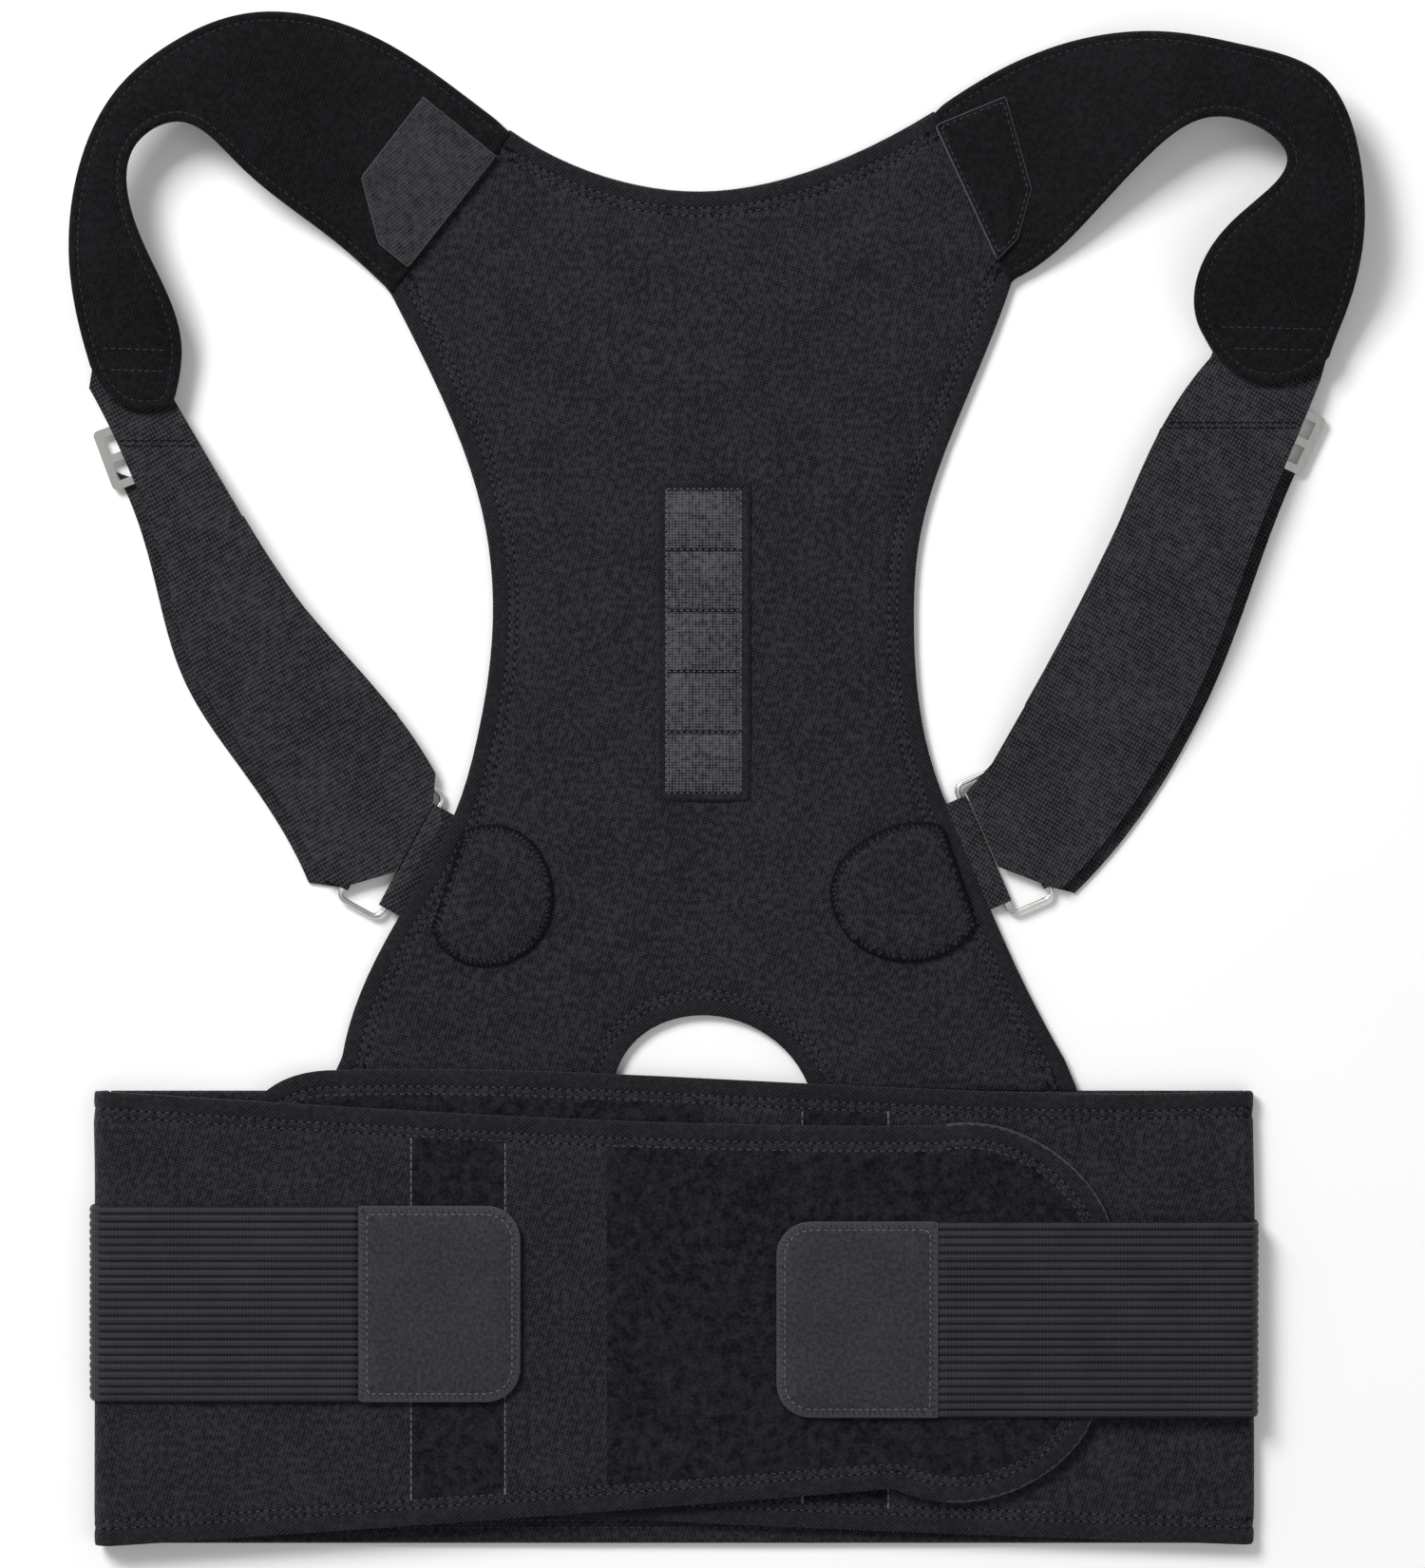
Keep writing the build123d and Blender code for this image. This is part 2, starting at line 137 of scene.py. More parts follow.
def cloth(name, dark, light, pitch, depth, roughness=0.85, sheen=0.25, turn=0.0, fuzz=0.3, spread=0.18):
    """Woven or knitted cloth: two crossing sets of threads with fuzz and slow colour change."""
    mat, nodes, links, shader, place = material(name, roughness, sheen)
    warp = wave_map(nodes, links, place, pitch, turn)
    weft = wave_map(nodes, links, place, pitch * 0.8, turn + math.pi / 2)
    threads = combine(nodes, links, "MULTIPLY", warp, weft)
    fibre = noise_map(nodes, links, place, 0.62 / pitch, 3.0)
    height = combine(nodes, links, "ADD", threads, combine(nodes, links, "MULTIPLY", fibre, fuzz))
    bump(nodes, links, shader, height, depth)
    slow = noise_map(nodes, links, place, 60.0)
    mixed = combine(nodes, links, "ADD", combine(nodes, links, "MULTIPLY", slow, 0.25),
                    combine(nodes, links, "MULTIPLY", height, 0.55))
    middle = 0.125 + 0.55 * (0.25 + 0.5 * fuzz)
    tint(nodes, links, shader, mixed, dark, light, middle - spread, middle + spread)
    return mat


def pile(name, dark, light):
    """Brushed loop pile: coarse broken fuzz."""
    mat, nodes, links, shader, place = material(name, 0.95, 0.15)
    loops = noise_map(nodes, links, place, 900.0, 4.0)
    clumps = noise_map(nodes, links, place, 260.0, 3.0)
    height = combine(nodes, links, "ADD", loops, clumps)
    bump(nodes, links, shader, height, 0.9 * MM)
    tint(nodes, links, shader, combine(nodes, links, "MULTIPLY", height, 0.5), dark, light, 0.38, 0.68)
    return mat


def metal(name, colour):
    """Bright nickel with fine handling marks."""
    mat, nodes, links, shader, place = material(name, 0.22, 0.0, 1.0)
    marks = noise_map(nodes, links, place, 500.0, 4.0, (1, 0.2, 1))
    tint(nodes, links, shader, marks, tuple(c * 0.86 for c in colour), colour)
    bump(nodes, links, shader, marks, 0.03 * MM)
    return mat


NEOPRENE = cloth("neoprene_knit", (0.0040, 0.0040, 0.0062), (0.0275, 0.0270, 0.0340), 1.3 * MM, 0.26 * MM,
                 roughness=0.8, sheen=0.10, turn=0.3, fuzz=2.0, spread=0.20)
# Neoprene of the pads and the right shoulder patch: the panel's knit made darker, which is painted shade.
PAD_SHADE_NEOPRENE = cloth("pad_knit_painted_shade", (0.0008, 0.0008, 0.0013), (0.0080, 0.0078, 0.0102), 1.3 * MM, 0.26 * MM,
                  roughness=0.8, sheen=0.05, turn=0.3, fuzz=2.0, spread=0.20)
BINDING = cloth("binding_knit", (0.0030, 0.0030, 0.0046), (0.0220, 0.0215, 0.0265), 1.2 * MM, 0.26 * MM,
                roughness=0.75, sheen=0.12, turn=0.9, fuzz=1.1, spread=0.15)
# Darker tone for faces along stitched grooves, for the lines between pockets and for some stitches: painted
# shade in the grooves.
SEAM_SHADE = cloth("seam_groove_shade", (0.0008, 0.0008, 0.0012), (0.0050, 0.0050, 0.0062), 0.8 * MM, 0.1 * MM,
             roughness=0.9, sheen=0.0)
WEBBING = {side: cloth(f"{side}_webbing_weave", (0.006, 0.006, 0.008), (0.056, 0.054, 0.062),
                       1.6 * MM, 0.7 * MM, roughness=0.75, sheen=0.1, turn=turn, fuzz=1.0)
           for side, turn in (("left", 1.05), ("right", -1.05))}
ELASTIC = cloth("elastic_weave", (0.014, 0.0137, 0.017), (0.044, 0.043, 0.050), 1.2 * MM, 0.15 * MM,
                roughness=0.7, sheen=0.1)
TAB = cloth("tab_knit", (0.014, 0.0137, 0.017), (0.040, 0.039, 0.046), 1.0 * MM, 0.12 * MM,
            roughness=0.62, sheen=0.15, turn=0.2, fuzz=2.0, spread=0.22)
TAB_EDGE = cloth("tab_edge", (0.030, 0.0295, 0.034), (0.060, 0.059, 0.067), 0.8 * MM, 0.08 * MM,
                 roughness=0.6, sheen=0.15, turn=0.2, fuzz=1.0)
# Darker tone for the grooves between the elastic's ribs: painted shade.
RIB_GROOVE_SHADE = cloth("rib_groove_shade", (0.004, 0.004, 0.005), (0.014, 0.0137, 0.017), 1.0 * MM, 0.1 * MM,
                   roughness=0.8, sheen=0.05)
RIBBED = cloth("ribbed_patch", (0.007, 0.007, 0.009), (0.096, 0.093, 0.103), 1.3 * MM, 0.30 * MM,
               roughness=0.6, sheen=0.15, turn=0.0, fuzz=1.4, spread=0.24)
SHOULDER = cloth("shoulder_ribs", (0.004, 0.004, 0.0055), (0.048, 0.047, 0.053), 1.3 * MM, 0.30 * MM,
                 roughness=0.6, sheen=0.15, turn=0.9, fuzz=1.4, spread=0.26)
# Stitching thread; also the tone of the painted highlight along the over wing's tip edge.
THREAD_AND_TIP_HIGHLIGHT = cloth("thread", (0.016, 0.016, 0.020), (0.060, 0.059, 0.066), 0.4 * MM, 0.03 * MM,
               roughness=0.55, sheen=0.3)
PALE_THREAD = cloth("pale_thread", (0.085, 0.084, 0.092), (0.16, 0.158, 0.17), 0.4 * MM, 0.03 * MM,
                    roughness=0.55, sheen=0.3)
PILE = pile("loop_pile", (0.0010, 0.0010, 0.0018), (0.0200, 0.0190, 0.0245))
NICKEL = metal("nickel", (0.80, 0.79, 0.76))


# Outlines read from the CAD pieces ----------------------------------------------------------------
def outline(node):
    """Corner points, anticlockwise, of the longest loop round a node's flat top."""
    bm = bmesh.new()
    bm.from_mesh(NODES[node].data)
    bmesh.ops.remove_doubles(bm, verts=bm.verts, dist=SAME_PLACE)
    top = max(v.co.z for v in bm.verts)
    faces = {f for f in bm.faces if all(abs(v.co.z - top) < SAME_PLACE for v in f.verts)}
    edges = [e for e in bm.edges if sum(f in faces for f in e.link_faces) == 1]
    links = {}
    for e in edges:
        for v in e.verts:
            links.setdefault(v.index, []).append(e.other_vert(v).index)
    bm.verts.ensure_lookup_table()
    loops, seen = [], set()
    for first in links:
        if first in seen:
            continue
        walk, here = [first], first
        seen.add(first)
        while True:
            onward = [i for i in links[here] if i not in seen]
            if not onward:
                break
            here = onward[0]
            seen.add(here)
            walk.append(here)
        loops.append([Vector(bm.verts[i].co.xy) for i in walk])
    bm.free()
    loop = max(loops, key=lambda w: sum((a - b).length for a, b in zip(w, w[1:] + w[:1])))
    area = sum(a.x * b.y - b.x * a.y for a, b in zip(loop, loop[1:] + loop[:1]))
    return loop if area > 0 else loop[::-1]


def longest_side(loop):
    """Index of the loop's longest straight side."""
    return max(range(len(loop)), key=lambda i: (loop[(i + 1) % len(loop)] - loop[i]).length)


def joined(first, second):
    """One outline from two that face each other across a narrow crease along their longest sides."""
    i, j = longest_side(first), longest_side(second)
    a = first[i + 1:] + first[:i + 1]
    b = second[j + 1:] + second[:j + 1]
    return a[:-1] + [(a[-1] + b[0]) / 2] + b[1:-1] + [(b[-1] + a[0]) / 2]


def resampled(loop, step, closed=True):
    """Evenly spaced points along a run, or round a closed outline."""
    points = loop + loop[:1] if closed else loop
    lengths = [0.0]
    for a, b in zip(points, points[1:]):
        lengths.append(lengths[-1] + (b - a).length)
    count = max(8, round(lengths[-1] / step))
    at = np.linspace(0, lengths[-1], count + (0 if closed else 1), endpoint=not closed)
    xs = np.interp(at, lengths, [p.x for p in points])
    ys = np.interp(at, lengths, [p.y for p in points])
    return [Vector((x, y)) for x, y in zip(xs, ys)]


def inset(loop, distance, step):
    """Line inside a closed anticlockwise outline at a distance, without the parts that fold back and so come
    nearer to the outline than that."""
    even = resampled(loop, step)
    tree = tree_of(even)
    n = len(even)
    kept = []
    for i, p in enumerate(even):
        along = (even[(i + 2) % n] - even[i - 2]).normalized()
        q = p + Vector((-along.y, along.x)) * distance
        if tree.find((q.x, q.y, 0))[2] > distance * 0.97:
            kept.append(q)
    return kept


def tree_of(points):
    """Search tree over flat points."""
    tree = kdtree.KDTree(len(points))
    for i, p in enumerate(points):
        tree.insert((p.x, p.y, 0), i)
    tree.balance()
    return tree


def inside(p, loop):
    """Whether a point lies inside an outline."""
    hit = False
    for a, b in zip(loop, loop[1:] + loop[:1]):
        if (a.y > p.y) != (b.y > p.y) and p.x < (b.x - a.x) * (p.y - a.y) / (b.y - a.y) + a.x:
            hit = not hit
    return hit


# Soft plates --------------------------------------------------------------------------------------
SEAM_LINES = (6.55, 9.55)     # distances of the two rows of stitches from a bound edge, in mm
EDGE_RINGS = (0.4, 1.1, 2.2, 4.2, 5.5, 6.2, 6.9, 7.6, 8.5, 9.2, 9.9, 10.6)
EDGE_STEP = 2.0 * MM * COARSE
RIM_SHARE = 0.25     # height of a plate's rim, as a share of its thickness
# GROOVE_SHADE is the place of the painted shade in stitched grooves.
CLOTH, BAND, GROOVE_SHADE, FACING, TIP_HIGHLIGHT = range(5)     # places of a piece's materials


def linked(name, mesh):
    """New object of a mesh, in the scene."""
    piece = bpy.data.objects.new(name, mesh)
    bpy.context.scene.collection.objects.link(piece)
    return piece


def closed_piece(name, verts, faces):
    """Smooth piece of the given points and faces, with its faces turned outwards."""
    mesh = bpy.data.meshes.new(name)
    mesh.from_pydata(verts, [], faces)
    mesh.update()
    bm = bmesh.new()
    bm.from_mesh(mesh)
    bmesh.ops.recalc_face_normals(bm, faces=bm.faces)
    bm.to_mesh(mesh)
    bm.free()
    mesh.polygons.foreach_set("use_smooth", [True] * len(mesh.polygons))
    return linked(name, mesh)


def soft_plate(name, loop, bottom, top, shape, spacing=4.0, rings=EDGE_RINGS, edge_round=1.6, bend=None,
               cuts=()):
    """Closed plate with the given outline. shape(x, y, d) is the height added to the top at d mm from the
    edge, and its edges are rolled over edge_round mm. The faces follow rings at the given distances from
    the edge, a grid of the given spacing inside them, and the lines in cuts. bend moves the finished
    points."""
    edge = resampled(loop, EDGE_STEP)
    tree = tree_of(resampled(loop, 1.0 * MM))
    points = list(edge)
    sides = [(i, (i + 1) % len(edge)) for i in range(len(edge))]
    for d in rings:
        pace = max(2.0, 0.35 * d) * MM * COARSE
        ring = inset(loop, d * MM, pace)
        first = len(points)
        points += ring
        widest_gap = 1.9 * pace
        for i in range(len(ring)):
            k = (i + 1) % len(ring)
            if (ring[k] - ring[i]).length < widest_gap:
                sides.append((first + i, first + k))
    for cut in cuts:
        marks = resampled(cut, EDGE_STEP, closed=False)
        sides += [(len(points) + i, len(points) + i + 1) for i in range(len(marks) - 1)]
        points += marks
    low = Vector((min(p.x for p in edge), min(p.y for p in edge)))
    high = Vector((max(p.x for p in edge), max(p.y for p in edge)))
    step = spacing * MM * COARSE
    deepest = max(rings) * MM + step * 0.4
    for j in range(int((high.y - low.y) / step) + 1):
        for i in range(int((high.x - low.x) / step) + 1):
            p = Vector((low.x + (i + 0.5 * (j % 2)) * step, low.y + j * step))
            if tree.find((p.x, p.y, 0))[2] > deepest and inside(p, edge):
                points.append(p)
    count = len(edge)
    flat, _, faces, origin, _, _ = geometry.delaunay_2d_cdt(points, sides, [], 1, 1e-7)
    verts, walls = [], []
    rim = [i for i, o in enumerate(origin) if any(k < count for k in o)]
    rim_of = {min(k for k in origin[i] if k < count): i for i in rim}
    middle = (bottom + top) / 2
    for side in (1, -1):
        for p in flat:
            d = tree.find((p.x, p.y, 0))[2] / MM
            roll = math.sqrt(max(0.0, 1 - (1 - min(d / edge_round, 1)) ** 2))
            face = top if side > 0 else bottom
            z = middle + (face - middle) * (RIM_SHARE + (1 - RIM_SHARE) * roll)
            if side > 0:
                z += shape(p.x, p.y, d)
            verts.append((p.x, p.y, z))
    n = len(flat)
    tris = [tuple(f) for f in faces] + [tuple(k + n for k in reversed(f)) for f in faces]
    order = [rim_of[k] for k in sorted(rim_of)]
    for a, b in zip(order, order[1:] + order[:1]):
        walls.append((b, a, a + n, b + n))
    if bend:
        verts = [bend(Vector(v)) for v in verts]
    return closed_piece(name, verts, tris + walls)


def add_mesh(piece, verts, faces, mat):
    """Add loose faces to a piece, with a material of their own."""
    mesh = piece.data
    if mat.name not in mesh.materials:
        mesh.materials.append(mat)
    index = mesh.materials.find(mat.name)
    bm = bmesh.new()
    bm.from_mesh(mesh)
    made = [bm.verts.new(v) for v in verts]
    for f in faces:
        face = bm.faces.new([made[i] for i in f])
        face.material_index = index
        face.smooth = True
    bm.to_mesh(mesh)
    bm.free()


# Place along, width and height of each cross-section of a stitch, as shares of its half length and sizes
STITCH_RIBS = ((-1.0, 0.4, -0.15), (-0.6, 1, 0.7), (0, 1, 1), (0.6, 1, 0.7), (1.0, 0.4, -0.15))


def stitches(piece, runs, mat, length=2.2, pitch=3.2, width=0.75, height=0.45):
    """Rows of short thread stitches that follow the top of a piece. Sizes are in mm."""
    surface = BVHTree.FromObject(piece, bpy.context.evaluated_depsgraph_get())
    verts, faces = [], []
    for run in runs:
        marks = resampled(run, pitch * MM, closed=False)
        for a, b in zip(marks, marks[1:]):
            if (b - a).length > 1.6 * pitch * MM:
                continue
            along = (b - a).normalized()
            across = Vector((-along.y, along.x))
            middle = (a + b) / 2
            hit = surface.ray_cast(Vector((middle.x, middle.y, 0.1)), Vector((0, 0, -1)))[0]
            if hit is None:
                continue
            first = len(verts)
            for s, w, h in STITCH_RIBS:
                for side, rise in ((-1, -0.3), (0, h), (1, -0.3)):
                    p = middle + along * s * length / 2 * MM + across * side * w * width / 2 * MM
                    verts.append((p.x, p.y, hit.z + height * MM * rise))
            for i in range(4):
                for j in range(2):
                    k = first + 3 * i + j
                    faces.append((k, k + 3, k + 4, k + 1))
    if verts:
        add_mesh(piece, verts, faces, mat)


def paint(piece, mats, choose):
    """Give each face the material that choose(centre) names."""
    for mat in mats:
        if mat.name not in piece.data.materials:
            piece.data.materials.append(mat)
    for f in piece.data.polygons:
        f.material_index = choose(f.center)


def ease(t):
    """Smooth step from 0 to 1."""
    t = min(max(t, 0.0), 1.0)
    return t * t * (3 - 2 * t)


def groove(d, at, depth, width=0.9):
    """Stitched groove at a distance from the edge, in metres."""
    return -depth * MM * math.exp(-((d - at) / width) ** 2)


def waves(x, y, scale, seed):
    """Slow uneven height of lying cloth, from -1 to 1."""
    return noise.noise(Vector((x / scale, y / scale, seed)))


def curved_tree(loop, longest=40):
    """Search tree over the points of an outline that aren't on a long straight side."""
    points = []
    for a, b in zip(loop, loop[1:] + loop[:1]):
        length = (b - a).length
        if length < longest * MM:
            count = math.ceil(length / MM)
            points += [a.lerp(b, i / count) for i in range(count)]
    return tree_of(points)


def seam_choice(tree, middle_z, extra=lambda c, d: None):
    """Choice of a face's material by its distance from the curved edges: cloth, band or the painted shade of
    a stitched groove.
    extra(c, d) may name another one."""
    def choose(c):
        d = tree.find((c.x, c.y, 0))[2] / MM
        if c.z < middle_z:
            return CLOTH
        other = extra(c, d)
        if other is not None:
            return other
        # Faces along the rows of stitches take the darker groove tone: painted shade.
        if any(abs(d - at) < 0.4 for at in SEAM_LINES):
            return GROOVE_SHADE
        return BAND if d < SEAM_LINES[0] else CLOTH
    return choose


def curved_run(loop, distance, longest=40):
    """Inset line along the outline's curved sides, as runs of points."""
    tree = curved_tree(loop, longest)
    runs, run = [], []
    for p in inset(loop, distance * MM, 1.5 * MM):
        if tree.find((p.x, p.y, 0))[2] > distance * 1.15 * MM:
            continue
        if run and (p - run[-1]).length > 6 * MM:
            runs.append(run)
            run = []
        run.append(p)
    runs.append(run)
    return [r for r in runs if len(r) > 4]


def cross_run(loop, start, end, margin):
    """Straight run between two points, kept to the inside of an outline."""
    tree = tree_of(resampled(loop, 1.5 * MM))
    pieces = 80
    points = [start.lerp(end, i / pieces) for i in range(pieces + 1)]
    return [p for p in points if inside(p, loop) and tree.find((p.x, p.y, 0))[2] > margin * MM]


def diced(name, node, step, mat):
    """Copy of a CAD node's shape, cut into a grid fine enough to bend."""
    bm = bmesh.new()
    bm.from_mesh(NODES[node].data)
    bmesh.ops.remove_doubles(bm, verts=bm.verts, dist=SAME_PLACE)
    low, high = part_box(node)
    for axis in (0, 1):
        normal = Vector((1 - axis, axis, 0))
        for i in range(1, int((high[axis] - low[axis]) / step)):
            at = low.copy()
            at[axis] += i * step
            everything = bm.verts[:] + bm.edges[:] + bm.faces[:]
            bmesh.ops.bisect_plane(bm, geom=everything, plane_co=at, plane_no=normal)
    mesh = bpy.data.meshes.new(name)
    bm.to_mesh(mesh)
    bm.free()
    mesh.materials.append(mat)
    return linked(name, mesh)


def joint(name):
    """Place and axis of a joint."""
    found = next(j for j in frame["joints"] if j["name"] == name)
    return Vector(found["pos_m"]), Vector(found["axis"])


# Camera, light and floor --------------------------------------------------------------------------
def studio():
    """Straight-down camera, one broad soft key from the upper left, a weak fill and a pale floor."""
    scene = bpy.context.scene
    scene.view_settings.view_transform = "Standard"
    view_height = 0.604     # height of the view at the floor
    camera_height = 2.2
    cam_data = bpy.data.cameras.new("camera")
    cam_data.lens = cam_data.sensor_width * camera_height / view_height
    cam = bpy.data.objects.new("camera", cam_data)
    cam.location = (-0.0015, -0.002, camera_height)
    scene.collection.objects.link(cam)
    scene.camera = cam
    lamps = (("key", (-1.6, 1.8, 2.3), 1.3, 108), ("fill", (1.6, -1.0, 2.6), 2.4, 14))
    for name, place, size, power in lamps:
        lamp = bpy.data.lights.new(name, "AREA")
        lamp.size = size
        lamp.energy = power
        holder = bpy.data.objects.new(name, lamp)
        holder.location = place
        holder.rotation_euler = (-Vector(place)).to_track_quat("-Z", "Y").to_euler()
        scene.collection.objects.link(holder)
    world = bpy.data.worlds.new("room")
    scene.world = world
    world.use_nodes = True
    world.node_tree.nodes["Background"].inputs["Color"].default_value = (1, 1, 1, 1)
    world.node_tree.nodes["Background"].inputs["Strength"].default_value = 0.40
    mesh = bpy.data.meshes.new("floor")
    half = 4.0
    corners = [(-half, -half, 0), (half, -half, 0), (half, half, 0), (-half, half, 0)]
    mesh.from_pydata(corners, [], [(0, 1, 2, 3)])
    floor = linked("floor", mesh)
    mat, nodes, links, shader, place = material("floor_white", 0.9)
    tint(nodes, links, shader, noise_map(nodes, links, place, 8.0), (0.92, 0.92, 0.92), (0.93, 0.93, 0.93))
    mesh.materials.append(mat)


studio()


# Back panel ---------------------------------------------------------------------------------------
CREASE_Y = 128 * MM     # faint crease across the right half of the panel


def back_panel():
    """Neoprene back with turned, double-stitched edges and the arch cut-out."""
    loop = outline("back_panel")
    low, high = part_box("back_panel")

    def shape(x, y, d):
        crown = 0.5 * MM * ease((d - 9) / 20)
        crease = -0.35 * MM * math.exp(-((y - CREASE_Y) / (1.6 * MM)) ** 2) * ease((x - 20 * MM) / (30 * MM))
        sewn = tree.find((x, y, 0))[2] / MM
        return (sum(groove(sewn, at, 0.6) for at in SEAM_LINES) + crown + crease
                + 0.7 * MM * waves(x, y, 0.045, 2.0) * ease(d / 12))

    tree = curved_tree(loop)
    piece = soft_plate("back_panel_soft", loop, low.z, high.z, shape)
    paint(piece, (NEOPRENE, BINDING, SEAM_SHADE), seam_choice(tree, (low.z + high.z) / 2))
    stitches(piece, [run for at in SEAM_LINES for run in curved_run(loop, at)], THREAD_AND_TIP_HIGHLIGHT)
    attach(piece, "back")
    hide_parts("back_panel", "neck_binding", "left_armhole_binding", "right_armhole_binding",
                "arch_binding")


def patch_plate(name, node, mat, body, crown, seam, thread=THREAD_AND_TIP_HIGHLIGHT, spacing=2.4, hem=None,
                loop=None, raised=0.0, bend=None):
    """Sewn-on patch with a crown and a stitched border, seam mm from its edge. raised lifts its top, and a
    patch without a body is left for its caller to place."""
    loop = loop or outline(node)
    low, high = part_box(node)
    rings = (0.5, seam, seam + 0.9, seam + 2)

    def shape(x, y, d):
        return crown * MM * ease((d - seam) / 6) + groove(d, seam, 0.25, 0.7)

    tree = tree_of(resampled(loop, 1.0 * MM))
    piece = soft_plate(name, loop, low.z, high.z + raised * MM, shape, spacing, rings, 0.8, bend)
    paint(piece, (mat, hem or mat), lambda c: int(tree.find((c.x, c.y, 0))[2] < seam * 0.5 * MM))
    stitches(piece, [inset(loop, seam * MM, 1.0 * MM)], thread, 1.9, 2.8, 0.6, 0.35)
    if body:
        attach(piece, body)
    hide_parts(node)
    return piece


def magnet_patch():
    """Ribbed strip with five puffed pockets, one over each magnet."""
    loop = outline("magnet_patch")
    low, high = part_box("magnet_patch")
    centre = (low + high) / 2
    border = 3.0 * MM
    pockets = 5
    rib_pitch = 2.0 * MM
    pitch = (high.y - low.y - 2 * border) / pockets
    field = (high.x - low.x) * 0.40     # half width of the pockets

    def shape(x, y, d):
        t = (y - low.y - border) / pitch
        across = min(abs(x - centre.x) / field, 1)
        puff = abs(math.sin(math.pi * t)) ** 0.6 * (1 - across ** 3)
        ribs = 0.16 * MM * math.sin(math.tau * y / rib_pitch) * (1 - across ** 8)
        edge = 0.5 * MM * math.exp(-((d - 1.2) / 0.9) ** 2)
        return 2.0 * MM * puff + ribs + edge - 0.9 * MM

    piece = soft_plate("magnet_patch_soft", loop, low.z, high.z, shape, 0.9, (0.5, 1.0, 1.7), 0.8)

    def choose(c):
        if abs(c.x - centre.x) > field or not low.y + border < c.y < high.y - border:
            return BAND
        t = (c.y - low.y - border) / pitch
        # The lines between the pockets take the darker groove tone: painted shade.
        return GROOVE_SHADE if min(t % 1, 1 - t % 1) < 0.035 else CLOTH

    paint(piece, (RIBBED, BINDING, SEAM_SHADE), choose)
    rows = []
    for x in (centre.x - field, centre.x + field):
        rows.append([Vector((x, low.y + border)), Vector((x, high.y - border))])
    for i in range(pockets + 1):
        y = low.y + border + i * pitch
        rows.append([Vector((centre.x - field, y)), Vector((centre.x + field, y))])
    stitches(piece, rows, PALE_THREAD, 1.7, 2.4, 0.45, 0.35)
    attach(piece, "back")
    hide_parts("magnet_patch")


back_panel()
magnet_patch()
for side in ("left", "right"):
    # The anchor patches' stitches are drawn in the darker groove tone: painted shade.
    patch_plate(f"{side}_anchor_patch_soft", f"{side}_anchor_patch", NEOPRENE, "back",
                crown=0.9, seam=2.6, thread=SEAM_SHADE)


# Arm loops ----------------------------------------------------------------------------------------
PAD_LIFT = 17 * MM       # lift of a pad's outer part
TIP_LIFT = 6.6 * MM      # lift of its tip, over the webbing
TIP_LAP = 5 * MM         # how far the tip laps over the webbing
SEAM_LAP = 2.5 * MM      # how far a pad's seam laps over the back panel
PATCH_LAP = 4.5 * MM     # how far a shoulder patch laps over the panel, past its own edge
PATCH_REACH = 10 * MM    # how far it reaches past the crease line
TAB_LAP = 3 * MM         # how far the ring's webbing tucks under the panel's edge
TAB_TUCK_Z = 2.5 * MM    # how high it may stand there
STRAP_LIFT = 6 * MM      # how high the webbing's upper run bows
PAD_SEAM = 3.4           # distance of a pad's stitches from its edge, in mm
BAR_TACKS = (9 * MM, 17 * MM)     # heights of the two cross seams over a pad's tip
STRAP_SEAMS = (28 * MM, 30 * MM)  # how far the webbing's cross seams lie below its top


def box_middle(node):
    """Middle of a node's box."""
    low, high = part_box(node)
    return (low + high) / 2


def loop_bend(side, away):
    """Point on a loop's crease line, the direction from there to the loop, and the lift that bends its pad
    up. away is -1 for a loop on the left and 1 on the right."""
    at, axis = joint(f"{side}_loop_swing")
    out = Vector((axis.y, -axis.x, 0)).normalized()
    if out.x * away < 0:
        out = -out
    tip_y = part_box(f"{side}_shoulder_pad")[0].y

    def lift(v):
        s = (v - at).dot(out)
        rise = TIP_LIFT + (PAD_LIFT - TIP_LIFT) * ease((v.y - tip_y - 6 * MM) / (50 * MM))
        return v + Vector((0, 0, rise * ease(s / (70 * MM))))

    return at, out, lift


def blend_at_crease(piece, at, out):
    """Apply a piece's transform to its points."""
    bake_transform(piece)


def pad_outline(side, at, out):
    """Outline of a root and its pad as one piece, lapped over the back panel and over the webbing."""
    loop = joined(outline(f"{side}_shoulder_root"), outline(f"{side}_shoulder_pad"))
    i = longest_side(loop)
    seam = (i, (i + 1) % len(loop))
    lap = (box_middle("magnet_patch").xy - (loop[seam[0]] + loop[seam[1]]) / 2).normalized()
    for k in seam:
        loop[k] = loop[k] + lap * SEAM_LAP
    tip_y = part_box(f"{side}_shoulder_pad")[0].y
    for p in loop:
        if (p - at.xy).dot(out.xy) > 30 * MM:
            p.y -= TIP_LAP * ease((tip_y + 14 * MM - p.y) / (14 * MM))
    return loop


